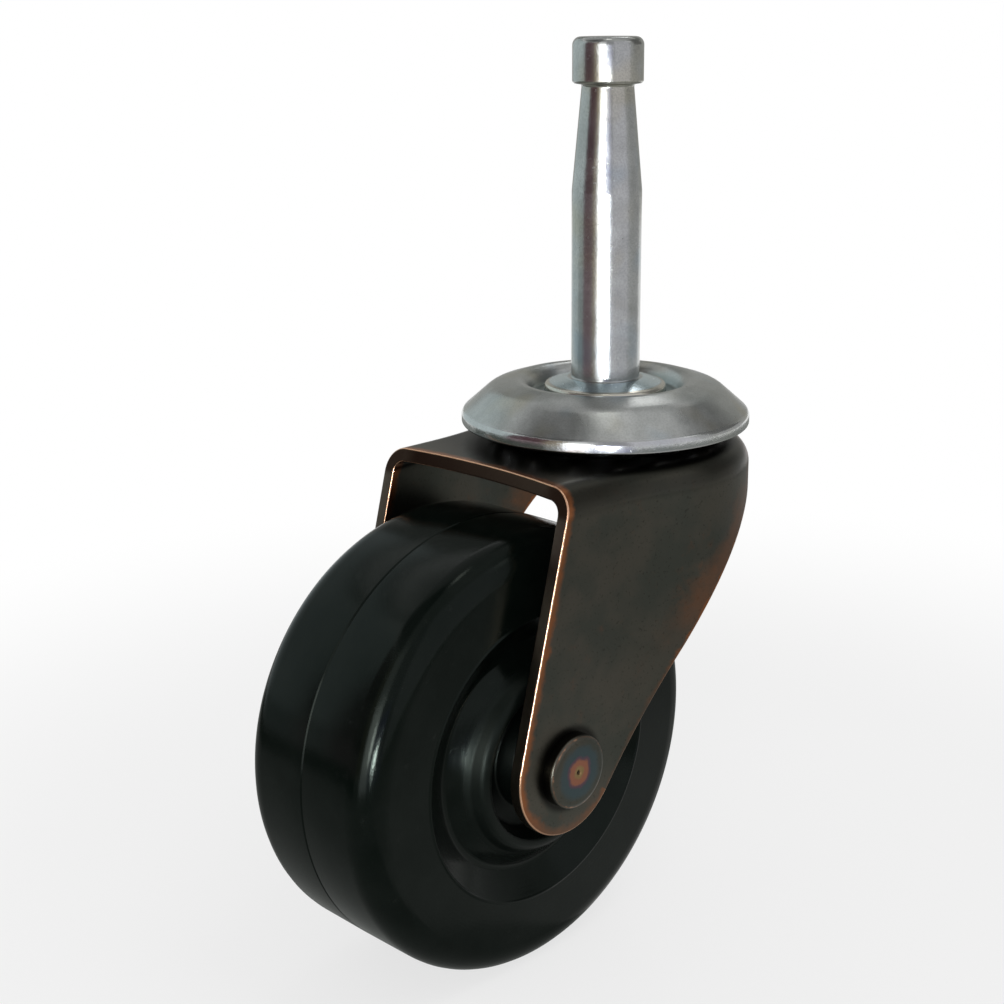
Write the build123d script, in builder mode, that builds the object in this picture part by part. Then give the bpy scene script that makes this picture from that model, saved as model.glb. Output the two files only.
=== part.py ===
from build123d import *
import os
from math import cos, radians, sin, sqrt, tan

# A furniture castor with a grip-neck stem, a stamped steel horn and a hard rubber wheel.
# Frame: millimetres, the origin where the shaft of the stem meets its collar, +Z up along
# the stem. The wheel trails towards -X and turns about a line along Y.

# Stem, turned from bar
stem_radius = 3.97
stem_length = 38.1
head_height = 5.05
head_rounding = 0.9
head_foot_rounding = 0.4
neck_radius = 2.9
neck_rounding = 0.35
neck_foot = 21.35
collar_radius = 7.1
collar_slope_radius = 4.6
collar_slope_rounding = 0.8
collar_edge_drop = 0.75
collar_edge_rounding = 0.45
collar_bottom = -1.9
shank_radius = 3.95
tenon_radius = 3.0
tail_radius = 4.8
tail_height = 1.7
tail_rounding = 1.3

# Sheet steel of the horn and of the race washer
sheet = 1.5

# Race washer, pressed like a dish upside down
washer_bore_radius = 3.97
web_radius = 8.5
web_rounding = 0.5
crest_radius = 9.55
crest_height = 0.22
crest_rounding = 1.7
roof_radius = 13.4
roof_height = -0.95
roof_rounding = 3.0
washer_radius = 16.75
eave_height = -3.9
eave_rounding = 0.8
washer_rim = -5.25

# Balls between the race washer and the crown of the horn
ball_count = 14
ball_radius = 2.38
ball_pitch_radius = 12.0
ball_depth = -4.5
ball_clearance = 0.07

# Horn
crown_top = -6.8
crown_radius = 16.86
crown_bend = 3.0
crown_front_bow = 1.0
leg_half_width = 14.4
flank_blend = 40.0
eye_radius = 7.6
front_lean = 14.8
rear_lean = 53.0
rear_straight = 18.9
skirt_side = (10.1, -12.7)
skirt_back = (18.0, -9.9)
swivel_clearance = 0.07

# Washer that the tail of the stem is riveted over, under the crown
keeper_radius = 6.6
keeper_thickness = 1.2
keeper_rounding = 0.3
keeper_clearance = 0.1

# Wheel, bushing and axle
trail = 21.4
axle_depth = 37.95
wheel_radius = 25.4
wheel_half_width = 10.23
tread_crown = 0.08
shoulder_rounding = 3.4
side_inner_radius = 16.4
side_rounding = 0.5
web_bottom_radius = 13.2
web_bottom = 8.2
ridge_foot_radius = 10.8
ridge_foot = 10.2
web_bottom_rounding = 0.8
ridge_outer_radius = 10.1
ridge_outer_rounding = 1.1
ridge_inner_radius = 9.0
ridge_inner_rounding = 0.4
hub_ridge = 11.7
dish_outer_radius = 8.1
dish_inner_radius = 5.9
dish_rounding = 0.5
hub_dish = 8.9
hub_end = 11.0
hub_end_radius = 5.15
bushing_radius = 4.3
bushing_half_length = 12.8
bushing_chamfer = 0.25
axle_radius = 3.17
axle_clearance = 0.06
rivet_radius = 4.15
rivet_height = 1.5
rivet_face_radius = 3.65
rivet_face_rounding = 0.6
rivet_edge_drop = 0.25
rivet_edge_rounding = 0.25

crown_underside = crown_top - sheet
axle_centre = (-trail, -axle_depth)
wheel_axis = Axis((-trail, 0, -axle_depth), (0, 1, 0))
wheel_plane = Plane(origin=(-trail, 0, -axle_depth), x_dir=(1, 0, 0), z_dir=(0, 0, 1))
groove_radius = ball_radius + ball_clearance


def corner(section, point):
    """The corner of a sketch that stands nearest to a point given in the sketch's own plane."""
    return section.vertices().sort_by_distance(point)[0]


# The stem has a head and a tapered neck for the grip of a socket, a plain shaft, a collar
# that carries the load, and a shank whose tail is riveted over below the crown.
keeper_top = crown_underside - keeper_clearance
keeper_bottom = keeper_top - keeper_thickness
head_foot = stem_length - head_height
tail_bottom = keeper_bottom - tail_height
with BuildPart() as stem:
    with BuildSketch(Plane.XZ) as section:
        with BuildLine():
            Polyline(
                (0, stem_length),
                (stem_radius, stem_length),
                (stem_radius, head_foot),
                (neck_radius, head_foot),
                (stem_radius, neck_foot),
                (stem_radius, 0),
                (collar_slope_radius, 0),
                (collar_radius, -collar_edge_drop),
                (collar_radius, collar_bottom),
                (shank_radius, collar_bottom),
                (shank_radius, keeper_top),
                (tenon_radius, keeper_top),
                (tenon_radius, keeper_bottom),
                (tail_radius, keeper_bottom),
                (tail_radius, tail_bottom),
                (0, tail_bottom),
                close=True,
            )
        make_face()
        fillet(corner(section, (stem_radius, stem_length)), head_rounding)
        fillet(corner(section, (stem_radius, head_foot)), head_foot_rounding)
        fillet(corner(section, (neck_radius, head_foot)), neck_rounding)
        fillet(corner(section, (collar_slope_radius, 0)), collar_slope_rounding)
        fillet(corner(section, (collar_radius, -collar_edge_drop)), collar_edge_rounding)
        fillet(corner(section, (tail_radius, tail_bottom)), tail_rounding)
    revolve(axis=Axis.Z)
stem.part.label = "stem"

# The race washer is one pressing: a flat web under the collar, a crest round it, a sloping
# roof over the balls and a turned-down rim. A groove inside the roof guides the balls.
with BuildPart() as race_washer:
    with BuildSketch(Plane.XZ):
        with BuildLine():
            roof = FilletPolyline(
                (washer_bore_radius, collar_bottom),
                (web_radius, collar_bottom),
                (crest_radius, crest_height),
                (roof_radius, roof_height),
                (washer_radius, eave_height),
                (washer_radius, washer_rim),
                radius=[web_rounding, crest_rounding, roof_rounding, eave_rounding],
            )
            offset(roof, amount=sheet, side=Side.RIGHT)
        make_face()
    revolve(axis=Axis.Z)
    with Locations((0, 0, ball_depth)):
        Torus(ball_pitch_radius, groove_radius, mode=Mode.SUBTRACT)
race_washer.part.label = "race_washer"

# The keeper is a plain washer held on the tenon of the stem by the riveted tail.
with BuildPart() as keeper_washer:
    with BuildSketch(Plane.XY.offset(keeper_bottom)):
        Circle(keeper_radius)
        Circle(tenon_radius, mode=Mode.SUBTRACT)
    extrude(amount=keeper_thickness)
    rims = keeper_washer.edges().filter_by(GeomType.CIRCLE).sort_by(SortBy.RADIUS)[-2:]
    fillet(rims, keeper_rounding)
keeper_washer.part.label = "keeper_washer"

# The balls stand in a full ring with a small space from one to the next.
balls = []
for index, place in enumerate(PolarLocations(ball_pitch_radius, ball_count)):
    with BuildPart() as ball:
        with Locations((place.position.X, place.position.Y, ball_depth)):
            Sphere(ball_radius)
    ball.part.label = f"swivel_ball_{index + 1:02d}"
    balls.append(ball.part)


def hood(inset):
    """The block that the horn is drawn over, moved in all round by the inset: 0 gives the
    outside of the horn and one thickness of sheet gives its hollow. In plan it has straight
    sides, a gentle flare and a round back about the stem."""
    half_width = leg_half_width - inset
    radius = crown_radius - inset
    blend = flank_blend + inset
    blend_start = -sqrt((radius + blend) ** 2 - (half_width + blend) ** 2)
    share = radius / (radius + blend)
    flare_end = (blend_start * share, (half_width + blend) * share)
    front = -2 * trail
    with BuildPart() as block:
        with BuildSketch(Plane.XY.offset(crown_top - inset)):
            with BuildLine():
                Line((front, 0), (front, half_width))
                side = Line((front, half_width), (blend_start, half_width))
                flare = TangentArc(side @ 1, flare_end, tangent=side % 1)
                TangentArc(flare @ 1, (radius, 0), tangent=flare % 1)
                mirror(about=Plane.XZ)
            make_face()
        extrude(amount=-2 * axle_depth)
        top = block.faces().sort_by(Axis.Z)[-1]
        fillet(top.edges().sort_by(Axis.X)[1:], crown_bend - inset)
    return block.part


# The horn is one stamping. Its side outline leaves the crown plate, two legs that end in
# round eyes at the axle, and a short skirt round the back.
lean = radians(front_lean)
slope = radians(rear_lean)
front_touch = (-trail - eye_radius * cos(lean), -axle_depth + eye_radius * sin(lean))
rear_touch = (-trail + eye_radius * sin(slope), -axle_depth - eye_radius * cos(slope))
front_top = (front_touch[0] - front_touch[1] * tan(lean), 0)
flank_point = (
    rear_touch[0] + rear_straight * cos(slope),
    rear_touch[1] + rear_straight * sin(slope),
)
plate_front = front_touch[0] + (crown_underside - front_touch[1]) * tan(lean)
plate_half = leg_half_width - crown_bend
with BuildPart() as horn:
    add(hood(0))
    add(hood(sheet), mode=Mode.SUBTRACT)
    with BuildSketch(Plane.XZ):
        with BuildLine():
            Line(front_top, front_touch)
            CenterArc(axle_centre, eye_radius, 180 - front_lean, 90 + front_lean + rear_lean)
            rear = Line(rear_touch, flank_point)
            flank = TangentArc(rear @ 1, skirt_side, tangent=rear % 1)
            skirt = TangentArc(flank @ 1, skirt_back, tangent=flank % 1)
            Polyline(skirt @ 1, (skirt_back[0], 0), front_top)
        make_face()
    extrude(amount=skirt_back[0], both=True, mode=Mode.INTERSECT)
    with BuildSketch(Plane.XY.offset(crown_underside)):
        with BuildLine():
            bow = ThreePointArc(
                (plate_front, -plate_half),
                (plate_front + crown_front_bow, 0),
                (plate_front, plate_half),
            )
            waste_edge = plate_front - crown_front_bow
            Polyline(bow @ 1, (waste_edge, plate_half), (waste_edge, -plate_half), bow @ 0)
        make_face()
    extrude(amount=2 * sheet, dir=(sin(lean), 0, cos(lean)), mode=Mode.SUBTRACT)
    with Locations((0, 0, crown_underside)):
        Cylinder(shank_radius + swivel_clearance, 3 * sheet, mode=Mode.SUBTRACT)
    with Locations(Plane(origin=(-trail, 0, -axle_depth), z_dir=(0, 1, 0))):
        Cylinder(axle_radius, 3 * leg_half_width, mode=Mode.SUBTRACT)
    with Locations((0, 0, ball_depth)):
        Torus(ball_pitch_radius, groove_radius, mode=Mode.SUBTRACT)
horn.part.label = "horn"

# The axle is a solid rivet through both eyes, with a low domed head on each side.
head_top = leg_half_width + rivet_height
head_edge = head_top - rivet_edge_drop
with BuildPart() as axle:
    with BuildSketch(wheel_plane) as section:
        with BuildLine():
            Polyline(
                (0, 0),
                (axle_radius, 0),
                (axle_radius, leg_half_width),
                (rivet_radius, leg_half_width),
                (rivet_radius, head_edge),
                (rivet_face_radius, head_top),
                (0, head_top),
                close=True,
            )
        make_face()
        fillet(corner(section, (rivet_radius, head_edge)), rivet_edge_rounding)
        fillet(corner(section, (rivet_face_radius, head_top)), rivet_face_rounding)
        mirror(about=Plane.XZ)
    revolve(axis=wheel_axis)
axle.part.label = "axle"

# The bushing is a steel tube pressed into the wheel. It turns on the axle and keeps the
# wheel clear of both legs.
with BuildPart() as axle_bushing:
    with BuildSketch(Plane(origin=(-trail, -bushing_half_length, -axle_depth), z_dir=(0, 1, 0))):
        Circle(bushing_radius)
        Circle(axle_radius + axle_clearance, mode=Mode.SUBTRACT)
    extrude(amount=2 * bushing_half_length)
    ends = axle_bushing.edges().filter_by(GeomType.CIRCLE).sort_by(SortBy.RADIUS)[-2:]
    chamfer(ends, bushing_chamfer)
axle_bushing.part.label = "axle_bushing"

# The wheel is one moulding of hard rubber with the same form on both sides: a hub with a
# raised ring round a dish, a sloping web, a flat side and a round shoulder.
tread_edge = wheel_radius - tread_crown
with BuildPart() as wheel:
    with BuildSketch(wheel_plane) as section:
        with BuildLine():
            Polyline(
                (bushing_radius, 0),
                (bushing_radius, hub_end),
                (hub_end_radius, hub_end),
                (dish_inner_radius, hub_dish),
                (dish_outer_radius, hub_dish),
                (ridge_inner_radius, hub_ridge),
                (ridge_outer_radius, hub_ridge),
                (ridge_foot_radius, ridge_foot),
                (web_bottom_radius, web_bottom),
                (side_inner_radius, wheel_half_width),
                (tread_edge, wheel_half_width),
                (wheel_radius, 0),
                close=True,
            )
        make_face()
        fillet(corner(section, (tread_edge, wheel_half_width)), shoulder_rounding)
        fillet(corner(section, (side_inner_radius, wheel_half_width)), side_rounding)
        fillet(corner(section, (web_bottom_radius, web_bottom)), web_bottom_rounding)
        fillet(corner(section, (ridge_foot_radius, ridge_foot)), web_bottom_rounding)
        fillet(corner(section, (ridge_outer_radius, hub_ridge)), ridge_outer_rounding)
        fillet(corner(section, (ridge_inner_radius, hub_ridge)), ridge_inner_rounding)
        fillet(corner(section, (dish_outer_radius, hub_dish)), dish_rounding)
        mirror(about=Plane.XZ)
    revolve(axis=wheel_axis)
wheel.part.label = "wheel"

os.makedirs("parts", exist_ok=True)
pieces = [stem.part, race_washer.part, keeper_washer.part, *balls]
pieces += [horn.part, axle.part, axle_bushing.part, wheel.part]
for piece in pieces:
    export_step(piece, f"parts/{piece.label}.step")
    print(piece.label, round(piece.volume, 1), piece.bounding_box().size)
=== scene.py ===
from math import cos, pi, radians, sin, tan

import bmesh
import bpy
from mathutils import Matrix, Vector


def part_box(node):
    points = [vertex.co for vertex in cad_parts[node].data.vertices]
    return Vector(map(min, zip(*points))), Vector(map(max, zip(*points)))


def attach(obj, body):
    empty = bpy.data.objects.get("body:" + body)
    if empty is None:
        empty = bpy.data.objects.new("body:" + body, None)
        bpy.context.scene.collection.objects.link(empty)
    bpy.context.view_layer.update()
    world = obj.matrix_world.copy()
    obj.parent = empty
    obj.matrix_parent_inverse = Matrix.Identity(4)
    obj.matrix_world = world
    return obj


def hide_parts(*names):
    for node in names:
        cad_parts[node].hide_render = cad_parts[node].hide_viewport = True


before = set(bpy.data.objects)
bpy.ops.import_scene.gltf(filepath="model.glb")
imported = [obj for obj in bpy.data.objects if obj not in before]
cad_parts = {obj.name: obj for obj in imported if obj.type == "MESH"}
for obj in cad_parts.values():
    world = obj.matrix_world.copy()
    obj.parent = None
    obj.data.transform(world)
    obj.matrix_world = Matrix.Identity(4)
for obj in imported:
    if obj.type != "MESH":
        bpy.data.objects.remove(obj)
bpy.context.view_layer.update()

MM = 0.001
scene = bpy.context.scene
scene.view_settings.view_transform = "Standard"


# Camera: it stands in front of the wheel and to its left, a little above the crown of the
# horn, and close enough for the near leg to look larger than the far one.
view_azimuth = radians(-44.705)
view_elevation = radians(16.268)
view_roll = radians(-0.464)
view_distance = 203.33 * MM
view_target = Vector((-7.44, 9.71, -15.69)) * MM
photo_width = 1004
focal_length_in_pixels = 1696.05
sensor_width = 36.0

back = Vector((
    sin(view_azimuth) * cos(view_elevation),
    -cos(view_azimuth) * cos(view_elevation),
    sin(view_elevation),
))
level_right = Vector((cos(view_azimuth), sin(view_azimuth), 0))
level_up = back.cross(level_right)
right = cos(view_roll) * level_right + sin(view_roll) * level_up
up = cos(view_roll) * level_up - sin(view_roll) * level_right
lens = bpy.data.cameras.new("camera")
lens.sensor_width = sensor_width
lens.lens = focal_length_in_pixels / photo_width * sensor_width
lens.clip_start = 10 * MM
lens.clip_end = 10
camera = bpy.data.objects.new("camera", lens)
scene.collection.objects.link(camera)
camera.matrix_world = Matrix((right, up, back)).transposed().to_4x4()
camera.location = view_target + view_distance * back
scene.camera = camera


# Studio: a pale floor that fades into a white backdrop, with soft boxes round it. The castor
# stands in the middle. Grey cards, which only its gloss sees, give the metal its dark bands.
# Its white paper is the first finish, so the two classes that make finishes are here.
class Number:
    """A value somewhere in a finish. Arithmetic on it adds Math nodes."""

    def __init__(self, finish, socket):
        self.finish = finish
        self.socket = socket

    def maths(self, operation, *values):
        settings = {"operation": operation}
        return self.finish.add("ShaderNodeMath", settings, dict(enumerate(values)))

    def __add__(self, other):
        return self.maths("ADD", self, other)

    def __sub__(self, other):
        return self.maths("SUBTRACT", self, other)

    def __rsub__(self, other):
        return self.maths("SUBTRACT", other, self)

    def __mul__(self, other):
        return self.maths("MULTIPLY", self, other)

    def __truediv__(self, other):
        return self.maths("DIVIDE", self, other)

    def __pow__(self, other):
        return self.maths("POWER", self, other)

    def __neg__(self):
        return self.maths("MULTIPLY", self, -1)

    __radd__ = __add__
    __rmul__ = __mul__

    def size(self):
        return self.maths("ABSOLUTE", self)

    def wave(self):
        return self.maths("SINE", self)

    def least(self, other):
        return self.maths("MINIMUM", self, other)

    def most(self, other):
        return self.maths("MAXIMUM", self, other)

    def under(self, limit):
        """1 where the value is less than the limit, and 0 elsewhere."""
        return self.maths("LESS_THAN", self, limit)

    def over(self, limit):
        """1 where the value is more than the limit, and 0 elsewhere."""
        return self.maths("GREATER_THAN", self, limit)

    def rise(self, start, end):
        """0 before start and 1 past end, with a soft ramp between. It falls if end is less."""
        low, high = min(start, end), max(start, end)
        settings = {"interpolation_type": "SMOOTHSTEP"}
        sockets = {"Value": self, "From Min": low, "From Max": high}
        ramp = self.finish.add("ShaderNodeMapRange", settings, sockets)
        return ramp if start < end else 1 - ramp


class Finish:
    """The nodes of a procedural material on Object coordinates in metres, or of the sky."""

    def __init__(self, name, world=None):
        self.owner = world or bpy.data.materials.new(name)
        self.owner.use_nodes = True
        self.tree = self.owner.node_tree
        self.tree.nodes.clear()
        self.place = None if world else self.add("ShaderNodeTexCoord", {}, {}, "Object")

    def add(self, kind, settings, sockets, output=0):
        """Adds a node of that kind, sets it up, then fills its sockets with values or links."""
        node = self.tree.nodes.new(kind)
        for name, value in settings.items():
            setattr(node, name, value)
        for name, value in sockets.items():
            if isinstance(value, Number):
                self.tree.links.new(value.socket, node.inputs[name])
            else:
                node.inputs[name].default_value = value
        return Number(self, node.outputs[output]) if node.outputs else None

    def axes(self):
        """The x, y and z of the place on the piece, in millimetres."""
        metres = [self.add("ShaderNodeSeparateXYZ", {}, {0: self.place}, n) for n in range(3)]
        return [axis / MM for axis in metres]

    def moved(self, offset):
        """The place shifted by an offset in metres, for a pattern of its own."""
        return self.add("ShaderNodeMapping", {}, {"Vector": self.place, "Location": offset})

    def noise(self, grain, detail, rough, place=None):
        """Cloudy noise from 0 to 1 whose patches are about one grain wide, in millimetres."""
        return self.add("ShaderNodeTexNoise", {}, {
            "Vector": place or self.place, "Scale": 1 / (grain * MM),
            "Detail": detail, "Roughness": rough,
        })

    def mix(self, share, first, second):
        """A colour between the first and the second."""
        return self.add("ShaderNodeMix", {"data_type": "RGBA"}, {0: share, 6: first, 7: second}, 2)

    def bump(self, height, depth):
        """A normal that follows a height from 0 to 1, which stands for that depth in
        millimetres."""
        return self.add("ShaderNodeBump", {}, {"Distance": depth * MM, "Height": height})

    def done(self, sockets):
        """Ends the material with one Principled shader."""
        shader = self.add("ShaderNodeBsdfPrincipled", {}, sockets)
        self.add("ShaderNodeOutputMaterial", {}, {"Surface": shader})
        return self.owner


def seen_directly(finish):
    """1 for what the camera, a mirror or a clear piece sees, and 0 for scattered light."""
    camera_ray, glossy_ray, clear_ray = [
        finish.add("ShaderNodeLightPath", {}, {}, ray)
        for ray in ("Is Camera Ray", "Is Glossy Ray", "Is Transmission Ray")
    ]
    return camera_ray.most(glossy_ray).most(clear_ray)


def paper_white():
    """A white floor with the castor's shadow, which turns to plain white further out."""
    paper = Finish("paper_white")
    x, y, _ = paper.axes()
    glow_near_castor = 0.72
    far = ((x * x + y * y) ** 0.5).rise(60, 170)
    share = seen_directly(paper) * (glow_near_castor + far * (1 - glow_near_castor))
    plain = paper.add("ShaderNodeBsdfDiffuse", {}, {"Color": (0.88, 0.88, 0.88, 1)})
    white = paper.add("ShaderNodeEmission", {}, {"Color": (1, 1, 1, 1), "Strength": 1.0})
    mixed = paper.add("ShaderNodeMixShader", {}, {0: share, 1: plain, 2: white})
    paper.add("ShaderNodeOutputMaterial", {}, {"Surface": mixed})
    return paper.owner


def plain_card(name, colour):
    """Card of one colour, which shows that colour in any light."""
    paint = Finish(name)
    glow = paint.add("ShaderNodeEmission", {}, {"Color": (*colour, 1), "Strength": 1.0})
    paint.add("ShaderNodeOutputMaterial", {}, {"Surface": glow})
    return paint.owner


def staged(name, bm, material, only_gloss=False):
    """Stands a piece of the studio in the scene. It isn't part of the castor."""
    mesh = bpy.data.meshes.new(name)
    bm.to_mesh(mesh)
    bm.free()
    mesh.materials.append(material)
    piece = bpy.data.objects.new(name, mesh)
    scene.collection.objects.link(piece)
    if only_gloss:
        piece.visible_camera = False
        piece.visible_diffuse = False
        piece.visible_shadow = False


def card(name, azimuths, low, high, colour):
    """A bent card, seen only by gloss, that spans two azimuths, in degrees. Low and high are
    the (radius, height) of its two long edges, in millimetres from the stem."""
    bm = bmesh.new()
    turn = Matrix.Rotation(radians(azimuths[0]), 3, "Z")
    ends = [turn @ Vector((radius, 0, height)) * MM for radius, height in (low, high)]
    edge = bm.edges.new([bm.verts.new(end) for end in ends])
    sweep = radians(azimuths[1] - azimuths[0])
    geometry = list(edge.verts) + [edge]
    bmesh.ops.spin(bm, geom=geometry, cent=(0, 0, 0), axis=(0, 0, 1), angle=sweep, steps=24)
    staged(name, bm, plain_card(name, colour), only_gloss=True)


floor_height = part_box("wheel")[0].z
floor_size = 4.0
bm = bmesh.new()
bmesh.ops.create_grid(bm, x_segments=1, y_segments=1, size=floor_size)
bmesh.ops.translate(bm, vec=(0, 0, floor_height), verts=bm.verts)
staged("floor", bm, paper_white())

all_round = (0, 360)
floor_card = floor_height / MM + 0.3
floor_side = floor_card + 0.5
floor_top = floor_card + 1
card("card_dark_left", (141, 176), (300, -12), (300, 260), (0.10, 0.055, 0.065))
card("card_dark_left_foot", (141, 176), (300, -60), (300, -12), (0.26, 0.19, 0.21))
card("card_warm_left", (176, 190), (300, -60), (300, 260), (0.28, 0.23, 0.16))
card("card_dark_top", (118, 190), (300, 280), (60, 420), (0.10, 0.10, 0.10))
card("card_far_left", (70, 141), (320, -60), (320, 260), (0.56, 0.63, 0.64))
card("card_left_low", (118, 141), (318, -60), (318, -14), (0.30, 0.34, 0.34))
card("card_violet", (-148, -127), (340, -60), (340, 60), (0.28, 0.26, 0.56))
card("card_front_right", (-127, -118), (340, -60), (340, 60), (0.28, 0.26, 0.28))
card("card_front_top", (-148, -118), (340, 60), (340, 420), (0.34, 0.34, 0.36))
card("card_key_low", (-140, -133), (330, -60), (330, -22), (74.0, 78.0, 78.0))
card("card_overhead", all_round, (1, 438), (30, 438), (4.0, 4.0, 3.8))
card("card_right", (-118, -62), (340, -60), (340, 420), (0.66, 0.65, 0.69))
card("card_far_right", (-62, -48), (340, -60), (340, 240), (0.46, 0.46, 0.46))
card("card_right_back", (-48, -5), (340, -60), (340, 60), (0.42, 0.42, 0.42))
card("card_right_back_top", (-48, -5), (340, 60), (340, 420), (0.16, 0.16, 0.16))
card("card_back", (-5, 70), (360, -20), (360, 190), (0.38, 0.38, 0.36))
card("card_back_top", (-5, 118), (360, 190), (360, 330), (0.16, 0.17, 0.16))
card("card_floor_left", (100, 176), (150, floor_top), (320, floor_top), (0.06, 0.07, 0.06))
card("card_ceiling", all_round, (1, 480), (420, 440), (0.42, 0.42, 0.42))
card("card_floor", all_round, (1, floor_card), (290, floor_card), (0.24, 0.25, 0.24))
card("card_floor_front", (-170, -150), (170, floor_top), (590, floor_top), (2.0, 2.0, 2.1))
card("card_floor_violet", (-150, -118), (170, floor_top), (590, floor_top), (0.34, 0.34, 0.50))
for start, end, level in ((1, 60, 0.48), (60, 100, 0.39), (100, 150, 0.32)):
    grey = (level, level, level * 0.98)
    card(f"card_floor_side_{start}", (-140, -20), (start, floor_side), (end, floor_side), grey)

world = bpy.data.worlds.new("studio")
scene.world = world
sky = Finish("studio", world)
soft_light, white_light = [
    sky.add("ShaderNodeBackground", {}, {"Color": (1, 1, 1, 1), "Strength": strength})
    for strength in (0.5, 1.0)
]
sky_light = sky.add("ShaderNodeMixShader", {}, {
    0: seen_directly(sky), 1: soft_light, 2: white_light,
})
sky.add("ShaderNodeOutputWorld", {}, {"Surface": sky_light})


def lamp(name, azimuth, elevation, distance, width, height, brightness):
    """A soft box that stands in that direction from the castor and faces it. Angles are in
    degrees, sizes in millimetres, and a brightness of 1 is as bright as white paper."""
    light = bpy.data.lights.new(name, "AREA")
    light.shape = "RECTANGLE"
    light.size = width * MM
    light.size_y = height * MM
    light.energy = brightness * pi * light.size * light.size_y
    stand = bpy.data.objects.new(name, light)
    scene.collection.objects.link(stand)
    turn = Matrix.Rotation(radians(azimuth), 3, "Z") @ Matrix.Rotation(radians(-elevation), 3, "Y")
    towards = turn @ Vector((1, 0, 0))
    stand.location = towards * distance * MM
    stand.rotation_mode = "QUATERNION"
    stand.rotation_quaternion = towards.to_track_quat("Z", "Y")


lamp("lamp_front", -155, 8, 600, 260, 290, 2.6)
lamp("lamp_key", -150, 3.5, 590, 70, 140, 14.0)
lamp("lamp_back", 32, 44, 380, 60, 60, 2.5)
lamp("lamp_top", -70, 66, 600, 260, 260, 2.0)


# Stem: a bar of mild steel turned in one piece with its head, neck, shaft and collar, then
# zinc plated. The tail is hammered over the keeper washer under the crown of the horn.
def turned(name, outline, centre=(0, 0, 0), axis=(0, 0, 1), closed=False, steps=160):
    """A piece of revolution. The outline is a list of (radius, height, rounding) corners in
    millimetres, from one end of the axis to the other, or round a ring if it is closed."""
    bm = bmesh.new()
    axis, centre = Vector(axis), Vector(centre) * MM
    side = Vector((1, 0, 0))
    near = 0.001 * MM
    segments_per_radian = 6
    crease = radians(30)

    def stands_at(vert, radius, height):
        out = vert.co - centre
        along = out.dot(axis)
        off = (out - axis * along).length
        return abs(along - height * MM) < near and abs(off - radius * MM) < near

    ring = [
        bm.verts.new(centre + (side * radius + axis * height) * MM)
        for radius, height, _ in outline
    ]
    pairs = list(zip(ring, ring[1:]))
    if closed:
        pairs.append((ring[-1], ring[0]))
    wire = [bm.edges.new(pair) for pair in pairs]
    bmesh.ops.spin(
        bm, geom=ring + wire, cent=centre, axis=axis, angle=2 * pi, steps=steps, use_merge=True
    )
    bmesh.ops.remove_doubles(bm, verts=bm.verts, dist=near / 10)
    bmesh.ops.recalc_face_normals(bm, faces=bm.faces)
    for number, (radius, height, rounding) in enumerate(outline):
        if not rounding:
            continue
        before, after = outline[number - 1], outline[(number + 1) % len(outline)]
        come = Vector((radius - before[0], height - before[1]))
        go = Vector((after[0] - radius, after[1] - height))
        turn = come.angle(go)
        edges = [e for e in bm.edges if all(stands_at(v, radius, height) for v in e.verts)]
        bmesh.ops.bevel(
            bm,
            geom=edges,
            offset=rounding * tan(turn / 2) * MM,
            segments=max(3, round(turn * segments_per_radian)),
            profile=0.5,
            affect="EDGES",
            material=-1,
        )
    mesh = bpy.data.meshes.new(name)
    bm.to_mesh(mesh)
    bm.free()
    mesh.shade_smooth()
    mesh.set_sharp_from_angle(angle=crease)
    piece = bpy.data.objects.new(name, mesh)
    scene.collection.objects.link(piece)
    return piece


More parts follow.
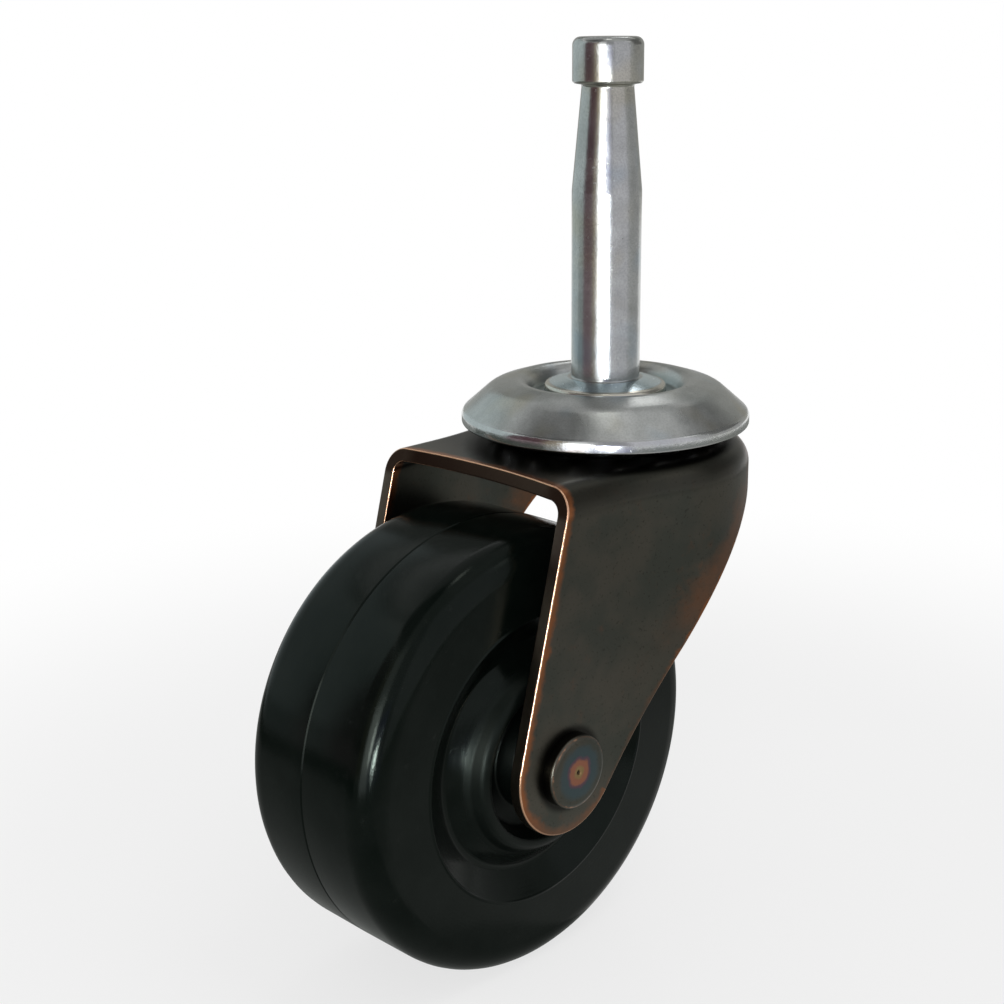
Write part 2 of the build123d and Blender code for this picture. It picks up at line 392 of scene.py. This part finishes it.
def zinc_plate(name, roughness, clouding):
    """Bright zinc: a blue-white metal with faint clouds of other tints and a fine peel. It is
    tinted blue on the collar of the stem. It has painted shade in the recess round the collar,
    a painted glint on the edge of the collar and a painted highlight on the rim of the washer,
    and is painted near black under the roof, round the balls."""
    zinc = Finish(name)
    clouds = zinc.noise(3.2, 4.0, 0.6)
    tint = zinc.noise(7.5, 2.0, 0.5, zinc.moved((0.02, 0.01, 0.03)))
    peel = zinc.noise(0.42, 2.0, 0.5)
    waves = zinc.noise(1.7, 1.0, 0.5)
    grain = zinc.noise(0.20, 2.0, 0.6)
    pits = zinc.noise(0.6, 3.0, 0.7, zinc.moved((0.01, 0.04, 0.02))).rise(0.68, 0.74)
    x, y, z = zinc.axes()
    radius = (x * x + y * y) ** 0.5

    dull_grey, pale_grey = (0.45, 0.465, 0.455, 1), (0.56, 0.575, 0.565, 1)
    straw, steel_blue = (0.50, 0.475, 0.38, 1), (0.38, 0.46, 0.52, 1)
    colour = zinc.mix(clouds.rise(0.3, 0.7), dull_grey, pale_grey)
    colour = zinc.mix(tint.rise(0.54, 0.74) * 0.6, colour, straw)
    colour = zinc.mix(tint.rise(0.46, 0.28) * 0.6, colour, steel_blue)
    pit_brown = (0.16, 0.155, 0.15, 1)
    colour = zinc.mix(pits * 0.5, colour, pit_brown)

    # Painted shade: the recess between the collar and the race washer is darkened to a dark teal.
    recess_shade = radius.rise(6.9, 7.3) * radius.rise(9.3, 8.3) * z.rise(-0.4, -1.3)
    recess_shade_teal = (0.06, 0.13, 0.14, 1)
    colour = zinc.mix(recess_shade * 0.55, colour, recess_shade_teal)
    speck_grey = (0.22, 0.23, 0.22, 1)
    colour = zinc.mix(grain.rise(0.42, 0.62) * 0.22, colour, speck_grey)

    collar = radius.rise(4.1, 4.6) * radius.rise(6.7, 6.3) * z.rise(-0.9, -0.7) * z.rise(0.4, 0.2)
    collar_blue = (0.72, 0.86, 0.92, 1)
    colour = zinc.mix(collar * 0.8, colour, collar_blue)
    # Painted glint: the edge of the collar is lightened to a straw colour.
    collar_edge = radius.rise(6.4, 6.7) * radius.rise(7.4, 7.3) * z.rise(-1.5, -1.0)
    collar_glint_straw = (0.86, 0.80, 0.66, 1)
    colour = zinc.mix(collar_edge * 0.5, colour, collar_glint_straw)

    # Painted highlight: the turned-down rim of the race washer is lightened, and it is made
    # smoother.
    rim = radius.rise(16.2, 16.5) * z.rise(-3.5, -3.8)
    rim_highlight_white = (0.72, 0.74, 0.74, 1)
    colour = zinc.mix(rim * 0.4, colour, rim_highlight_white)
    roof_slope, roof_radius, roof_height = 0.88, 13.4, -0.95
    roof = roof_height - roof_slope * (radius - roof_radius).most(0)
    # The underside of the roof, round the balls, is painted near black.
    inside = radius.rise(9.8, 10.2) * radius.rise(15.7, 15.3) * (roof - z).rise(0.7, 1.0)
    under_roof_black = (0.02, 0.018, 0.014, 1)
    colour = zinc.mix(inside * 0.9, colour, under_roof_black)

    rough = roughness + (clouds - 0.5) * clouding + grain * 0.05 + pits * 0.2 - rim * 0.12
    height = peel + grain * 0.35 + waves * 0.8 - pits * 0.5
    return zinc.done({
        "Base Color": colour, "Metallic": 1.0, "Roughness": rough,
        "Normal": zinc.bump(height, 0.010),
    })


bright_zinc = zinc_plate("bright_zinc", 0.20, 0.08)
stem_radius = 3.97
stem_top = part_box("stem")[1].z / MM
stem_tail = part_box("stem")[0].z / MM
head_foot = 33.05
neck_radius = 2.9
neck_foot = 21.35
collar_slope_radius = 4.6
collar_radius = 7.1
collar_edge = -0.75
collar_bottom = -1.9
shank_radius = 3.95
tenon_radius = 3.0
tail_radius = 4.8
keeper_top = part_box("keeper_washer")[1].z / MM
keeper_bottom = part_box("keeper_washer")[0].z / MM
stem = turned("stem_turned", [
    (0, stem_top, 0),
    (stem_radius, stem_top, 0.9),
    (stem_radius, head_foot, 0.4),
    (neck_radius, head_foot, 0.35),
    (stem_radius, neck_foot, 3.0),
    (stem_radius, 0, 0.15),
    (collar_slope_radius, 0, 0.8),
    (collar_radius, collar_edge, 0.45),
    (collar_radius, collar_bottom, 0.1),
    (shank_radius, collar_bottom, 0),
    (shank_radius, keeper_top, 0),
    (tenon_radius, keeper_top, 0),
    (tenon_radius, keeper_bottom, 0),
    (tail_radius, keeper_bottom, 0.15),
    (tail_radius, stem_tail, 1.3),
    (0, stem_tail, 0),
])
stem.data.materials.append(bright_zinc)
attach(stem, "stem")
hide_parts("stem")


# Race washer: one zinc-plated pressing. Its web lies under the collar of the stem, its roof
# covers the balls, and its rim turns down to keep dirt out of the race.
def pressed(line, thickness):
    """The closed outline of a pressed sheet whose upper side follows a line of corners."""
    least_rounding = 0.1
    points = [Vector(corner[:2]) for corner in line]
    runs = [(b - a).normalized() for a, b in zip(points, points[1:])]
    under = []
    for number, point in enumerate(points):
        first = runs[max(number - 1, 0)]
        last = runs[min(number, len(runs) - 1)]
        across = (first + last).normalized()
        reach = thickness / across.dot(first)
        under.append(point + Vector((across.y, -across.x)) * reach)
    lower = [
        (point.x, point.y, max(least_rounding, rounding - thickness))
        for point, (_, _, rounding) in zip(under, line)
    ]
    return list(line) + lower[::-1]


satin_zinc = zinc_plate("satin_zinc", 0.27, 0.10)
sheet = 1.5
washer_radius = 16.75
race_washer = turned("race_washer_pressed", pressed([
    (stem_radius, collar_bottom, 0.1),
    (8.5, collar_bottom, 0.5),
    (9.55, 0.22, 1.7),
    (13.4, -0.95, 3.0),
    (washer_radius, -3.9, 0.8),
    (washer_radius, -5.25, 0.3),
], sheet), closed=True)
race_washer.data.materials.append(satin_zinc)
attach(race_washer, "stem")
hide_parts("race_washer")


# Swivel balls and keeper washer: hard steel balls in grease between the race washer and the
# crown, and a plain washer that the tail of the stem holds under the crown.
def dressed(node, material, rounding=0.0):
    """Gives a solid of the frame its finish, joins its triangles and softens its edges."""
    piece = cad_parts[node]
    piece.data.materials.clear()
    piece.data.materials.append(material)
    piece.data.shade_smooth()
    weld = piece.modifiers.new("join", "WELD")
    weld.merge_threshold = 0.001 * MM
    if rounding:
        flat = piece.modifiers.new("flats", "DECIMATE")
        flat.decimate_type = "DISSOLVE"
        flat.angle_limit = radians(0.3)
        bevel = piece.modifiers.new("edges", "BEVEL")
        bevel.width = rounding * MM
        bevel.segments = 3
        bevel.limit_method = "ANGLE"
        bevel.angle_limit = radians(40)
        bevel.use_clamp_overlap = False
    normals = piece.modifiers.new("normals", "WEIGHTED_NORMAL")
    normals.keep_sharp = False


def greased_steel():
    """Polished ball steel with a brown film of grease."""
    steel = Finish("greased_steel")
    film = steel.noise(1.1, 3.0, 0.6)
    bare_steel, brown_grease = (0.16, 0.16, 0.16, 1), (0.05, 0.042, 0.03, 1)
    colour = steel.mix(film.rise(0.4, 0.65), bare_steel, brown_grease)
    return steel.done({
        "Base Color": colour, "Metallic": 1.0, "Roughness": 0.18 + film * 0.25,
        "Normal": steel.bump(film, 0.01),
    })


ball_steel = greased_steel()
for node in sorted(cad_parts):
    if node.startswith("swivel_ball"):
        dressed(node, ball_steel)
dressed("keeper_washer", satin_zinc)


# Horn: stamped and drawn from one blank of sheet steel, with an antique copper finish: a
# dark brown tone over copper plate, rubbed back to bright copper along the cut edges.
trail = 21.4
axle_depth = 37.95
eye_radius = 7.6
leg_half_width = 14.4
leg_inside = leg_half_width - sheet
front_lean = radians(14.8)
rear_lean = radians(53)
rear_straight = 18.9
skirt_side = Vector((10.1, -12.7))
skirt_back = Vector((18.0, -9.9))
plate_half = 11.4
plate_bow = 1.0
crown_top = -6.8
edge_rounding = 0.2
eye = Vector((-trail, -axle_depth))
front_heading = Vector((sin(front_lean), cos(front_lean)))
front_touch = eye + Vector((-cos(front_lean), sin(front_lean))) * eye_radius
rear_heading = Vector((cos(rear_lean), sin(rear_lean)))
rear_touch = eye + Vector((sin(rear_lean), -cos(rear_lean))) * eye_radius
flank_point = rear_touch + rear_heading * rear_straight


def arc_onward(start, heading, end):
    """The centre and radius of the arc that leaves start along heading and comes to end, and
    its heading there, all in the side view."""
    across = Vector((heading.y, -heading.x))
    chord = end - start
    radius = chord.length_squared / (2 * chord.dot(across))
    centre = start + across * radius
    spoke = (end - centre).normalized()
    return centre, radius, Vector((spoke.y, -spoke.x))


flank_centre, flank_radius, side_heading = arc_onward(flank_point, rear_heading, skirt_side)
skirt_centre, skirt_radius, _ = arc_onward(skirt_side, side_heading, skirt_back)


def side_edges(copper):
    """How far a place on the horn is inside its front edge and its rear edge, in millimetres,
    as seen from the side."""
    x, y, z = copper.axes()

    def beside(point, heading):
        return (z - point.y) * heading.x - (x - point.x) * heading.y

    def along(point, heading):
        return (x - point.x) * heading.x + (z - point.y) * heading.y

    def off_centre(point):
        across, up = x - point.x, z - point.y
        return (across * across + up * up) ** 0.5

    in_eye = along(front_touch, front_heading).under(0) * along(rear_touch, rear_heading).under(0)
    round_eye = eye_radius - off_centre(eye)
    bow = (1 - (y / plate_half) ** 2).most(0) * (plate_bow * cos(front_lean))
    front = -beside(front_touch, front_heading) - bow
    flank = off_centre(flank_centre) - flank_radius
    skirt = off_centre(skirt_centre) - skirt_radius
    rear = beside(rear_touch, rear_heading)
    rear = rear + (flank - rear) * x.over(flank_point.x)
    rear = rear + (skirt - rear) * x.over(skirt_side.x)
    return front + (round_eye - front) * in_eye, rear + (round_eye - rear) * in_eye


def off_axle(copper):
    """How far a place is from the line of the axle, in millimetres."""
    x, _, z = copper.axes()
    across, up = x + trail, z + axle_depth
    return (across * across + up * up) ** 0.5


# Near black for painted shade on the horn and the rivet heads, and for the cut end of the crown.
shade_black = (0.012, 0.011, 0.009, 1)


def antique_copper(name, wear, marks):
    """Brown tone over copper. Wear gives the shares of rubbed copper and of raw bright edge on
    the piece, and marks adds its stains and its painted shade."""
    copper = Finish(name)
    rubbed, bright = wear(copper)
    cloud = copper.noise(7.0, 3.0, 0.55)
    mottle = copper.noise(2.2, 4.0, 0.65, copper.moved((0.03, 0.02, 0.05)))
    speck = copper.noise(0.35, 2.0, 0.6)
    grain = copper.noise(0.10, 1.0, 0.6)
    dark_brown, mid_brown = (0.080, 0.084, 0.070, 1), (0.108, 0.101, 0.082, 1)
    red_brown, near_black = (0.17, 0.088, 0.055, 1), (0.035, 0.032, 0.026, 1)
    rubbed_copper, raw_copper = (0.36, 0.135, 0.055, 1), (0.93, 0.56, 0.36, 1)
    colour = copper.mix(cloud.rise(0.35, 0.65), dark_brown, mid_brown)
    colour = copper.mix(mottle.rise(0.58, 0.80) * 0.4, colour, red_brown)
    colour = copper.mix(speck.rise(0.58, 0.72) * 0.45, colour, near_black)
    colour = marks(copper, colour)
    colour = copper.mix(rubbed, colour, rubbed_copper)
    colour = copper.mix(bright, colour, raw_copper)
    rough = 0.31 + grain * 0.10 - mottle * 0.05 - rubbed * 0.04 - bright * 0.04
    return copper.done({
        "Base Color": colour, "Metallic": 1.0, "Roughness": rough,
        "Normal": copper.bump(speck * 0.3 + grain * 0.3 + mottle * 0.6, 0.012),
    })


def horn_wear(copper):
    """Bare copper along the outline of the horn, more in front than behind, and a rusty patch
    high on the rear of each leg."""
    front, rear = side_edges(copper)
    patch = copper.noise(1.6, 4.0, 0.65, copper.moved((0.05, 0.01, 0.02)))
    broad = copper.noise(6.0, 2.0, 0.5, copper.moved((0.01, 0.05, 0.02)))
    _, _, z = copper.axes()
    worn = z.rise(-46.0, -39.0) * 0.7 + 0.3
    high = z.rise(-34.0, -24.0) * 0.8 + 0.2
    off_cut = front.least(rear).rise(0.015, 0.06)
    ragged = patch - 0.5
    front_rub = (front + ragged * 1.8).rise(1.3, 0.3) * worn
    rear_rub = (rear + ragged * 1.6).rise(0.8, 0.1) * high
    stain = (rear + ragged * 6.0).rise(5.5, 0.8) * broad.rise(0.32, 0.55) * 0.40
    stain = stain * z.rise(-29.0, -22.0)
    rubbed = front_rub.most(rear_rub).most(stain) * (0.08 + off_cut * 0.92)
    front_edge = (front + ragged * 0.2).rise(0.24, 0.14) * worn
    rear_edge = (rear + ragged * 0.2).rise(0.20, 0.12) * high * 0.7
    return rubbed, front_edge.most(rear_edge) * off_cut


def horn_painted_shade(copper, colour):
    """Painted shade, near black: the shadow of the race washer on the crown, shade inside the
    fork and in the corner round each rivet head, and a darker painted shade along the bends.
    The cut end of the crown is darkened to the same near black."""
    x, y, z = copper.axes()
    # Painted shade: the bends between the crown and the legs are darkened.
    bend_shade = z.rise(crown_top - 3.6, crown_top - 2.2) * y.size().rise(11.2, 12.2) * 0.65
    bend_shade_brown = (0.030, 0.030, 0.024, 1)
    colour = copper.mix(bend_shade, colour, bend_shade_brown)
    # Painted shadow of the race washer on the crown round it.
    on_crown = z.rise(crown_top - 0.6, crown_top - 0.2)
    under_washer_shade = ((x * x + y * y) ** 0.5).rise(22.5, 17.0) * on_crown
    # Painted shade in the corner round each rivet head.
    rivet_shadow_ring = off_axle(copper).rise(5.3, 4.4)
    # Painted shade inside the fork, under the crown.
    in_fork_shade = y.size().rise(leg_inside - 0.02, leg_inside - 0.10) * z.rise(-8.2, -8.6) * 0.6
    front, _ = side_edges(copper)
    crown_end = front.rise(0.06, 0.015) * z.rise(crown_top - 3.4, crown_top - 2.6)
    share = under_washer_shade.most(rivet_shadow_ring).most(in_fork_shade).most(crown_end) * 0.85
    return copper.mix(share, colour, shade_black)


dressed("horn", antique_copper("antique_copper", horn_wear, horn_painted_shade), edge_rounding)


# Axle: a solid steel rivet in the same finish, pushed through both eyes and the bushing and
# headed over cold, which leaves a small dimple in the middle of the near head.
axle_centre = (-trail, 0, -axle_depth)
head_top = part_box("axle")[1].y / MM
axle_radius = 3.17
rivet_radius = 4.15
face_radius = 3.65
edge_drop = 0.25


def above_leg(copper):
    """How far a place on a rivet head stands out from the leg, in millimetres."""
    _, y, _ = copper.axes()
    return y.size() - leg_half_width


def rivet_wear(copper):
    """Bare copper on the rim of each head."""
    patch = copper.noise(1.1, 4.0, 0.65)
    rim = (off_axle(copper) + (patch - 0.5) * 0.5).rise(3.85, 4.05)
    rim = rim * above_leg(copper).rise(1.28, 1.38)
    return rim * 0.5, rim * patch.rise(0.5, 0.62) * 0.35


def heat_rings(copper, colour):
    """The tints that the heading of the rivet left: straw in the middle, blue round it. The side
    wall of each head has painted shade.
    """
    wobble = copper.noise(1.3, 3.0, 0.6, copper.moved((0.02, 0.02, 0.0)))
    radius = off_axle(copper) + (wobble - 0.5) * 0.9
    blue, violet = (0.070, 0.110, 0.125, 1), (0.15, 0.085, 0.115, 1)
    red, straw = (0.38, 0.16, 0.10, 1), (0.34, 0.26, 0.11, 1)
    dimple_brown = (0.03, 0.025, 0.02, 1)
    colour = copper.mix(radius.rise(3.4, 2.5) * 0.75, colour, blue)
    colour = copper.mix(radius.rise(2.05, 1.75) * 0.8, colour, violet)
    colour = copper.mix(radius.rise(1.75, 1.3), colour, red)
    colour = copper.mix(radius.rise(0.9, 0.45) * 0.8, colour, straw)
    colour = copper.mix(radius.rise(0.28, 0.15) * 0.9, colour, dimple_brown)
    # Painted shade on the side wall of the head.
    shaded_wall = above_leg(copper).rise(1.2, 0.95)
    return copper.mix(shaded_wall * 0.95, colour, shade_black)


axle = turned("axle_rivet", [
    (0, -head_top + 0.3, 0),
    (0.2, -head_top + 0.15, 0.1),
    (0.42, -head_top, 0.15),
    (face_radius, -head_top, 0.6),
    (rivet_radius, -head_top + edge_drop, 0.25),
    (rivet_radius, -leg_half_width, 0.1),
    (axle_radius, -leg_half_width, 0),
    (axle_radius, leg_half_width, 0),
    (rivet_radius, leg_half_width, 0.1),
    (rivet_radius, head_top - edge_drop, 0.25),
    (face_radius, head_top, 0.6),
    (0, head_top, 0),
], axle_centre, (0, 1, 0))
axle.data.materials.append(antique_copper("rivet_copper", rivet_wear, heat_rings))
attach(axle, "horn")
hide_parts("axle")


# Axle bushing: a zinc-plated steel tube in the bore of the wheel. It turns with the wheel on
# the axle, between the two legs of the horn.
dressed("axle_bushing", satin_zinc)


# Wheel: moulded in one piece of hard black rubber in a mould of two halves, which leaves a
# fine line round the middle of the tread. Both sides have a sunk web and a ringed hub.
wheel_radius = 25.4
wheel_half_width = 10.23
bushing_radius = 4.3
dish = 8.9
hub_ridge = 11.7
ridge_foot_radius = 10.8
web_bottom = 8.2
web_edge_radius = 16.4
shoulder_rounding = 3.4


def hard_rubber():
    """Satin black rubber with faint turning marks from the mould and a little grey dust. It is
    duller on the hub and glossier on the web and round the shoulders."""
    rubber = Finish("hard_rubber")
    radius = off_axle(rubber)
    cloud = rubber.noise(5.5, 4.0, 0.6)
    grain = rubber.noise(0.14, 2.0, 0.6)
    dust = rubber.noise(1.3, 5.0, 0.7)
    deep_black, soft_black = (0.0018, 0.0034, 0.0026, 1), (0.0038, 0.0056, 0.0046, 1)
    dust_grey = (0.018, 0.020, 0.018, 1)
    colour = rubber.mix(cloud.rise(0.35, 0.7), deep_black, soft_black)
    colour = rubber.mix(dust.rise(0.60, 0.8) * 0.3, colour, dust_grey)
    hub = radius.rise(ridge_foot_radius + 1.0, ridge_foot_radius + 0.2)
    web = (1 - hub) * radius.rise(web_edge_radius + 0.2, web_edge_radius - 0.2)
    shoulder = radius.rise(21.5, 22.5)
    rough = 0.15 + cloud * 0.10 + dust.rise(0.55, 0.8) * 0.15
    rough = rough + hub * 0.18 - web * 0.05 - shoulder * 0.05
    mark_spacing = 0.5
    marks = (radius * (2 * pi / mark_spacing)).wave() * 0.08
    return rubber.done({
        "Base Color": colour, "Metallic": 0.0, "Roughness": rough,
        "Specular IOR Level": 0.17, "Specular Tint": (0.86, 1.0, 0.90, 1),
        "Normal": rubber.bump(grain * 0.6 + cloud * 0.4 + marks, 0.010),
    })


half_outline = [
    (bushing_radius, 11.0, 0.15),
    (5.15, 11.0, 0.3),
    (5.9, dish, 0.4),
    (8.1, dish, 0.5),
    (9.0, hub_ridge, 0.4),
    (10.1, hub_ridge, 1.1),
    (ridge_foot_radius, 10.2, 0.8),
    (13.2, web_bottom, 0.8),
    (web_edge_radius, wheel_half_width, 0.1),
    (web_edge_radius + 0.15, wheel_half_width + 0.14, 0.08),
    (web_edge_radius + 0.4, wheel_half_width + 0.02, 0.3),
    (wheel_radius - 0.08, wheel_half_width, shoulder_rounding),
    (wheel_radius - 0.01, 0.16, 0.05),
]
other_half = [(radius, -height, rounding) for radius, height, rounding in half_outline[::-1]]
parting_line = (wheel_radius - 0.12, 0, 0)
wheel = turned(
    "wheel_moulded",
    half_outline + [parting_line] + other_half,
    axle_centre,
    (0, 1, 0),
    closed=True,
    steps=200,
)
wheel.data.materials.append(hard_rubber())
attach(wheel, "wheel")
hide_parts("wheel")
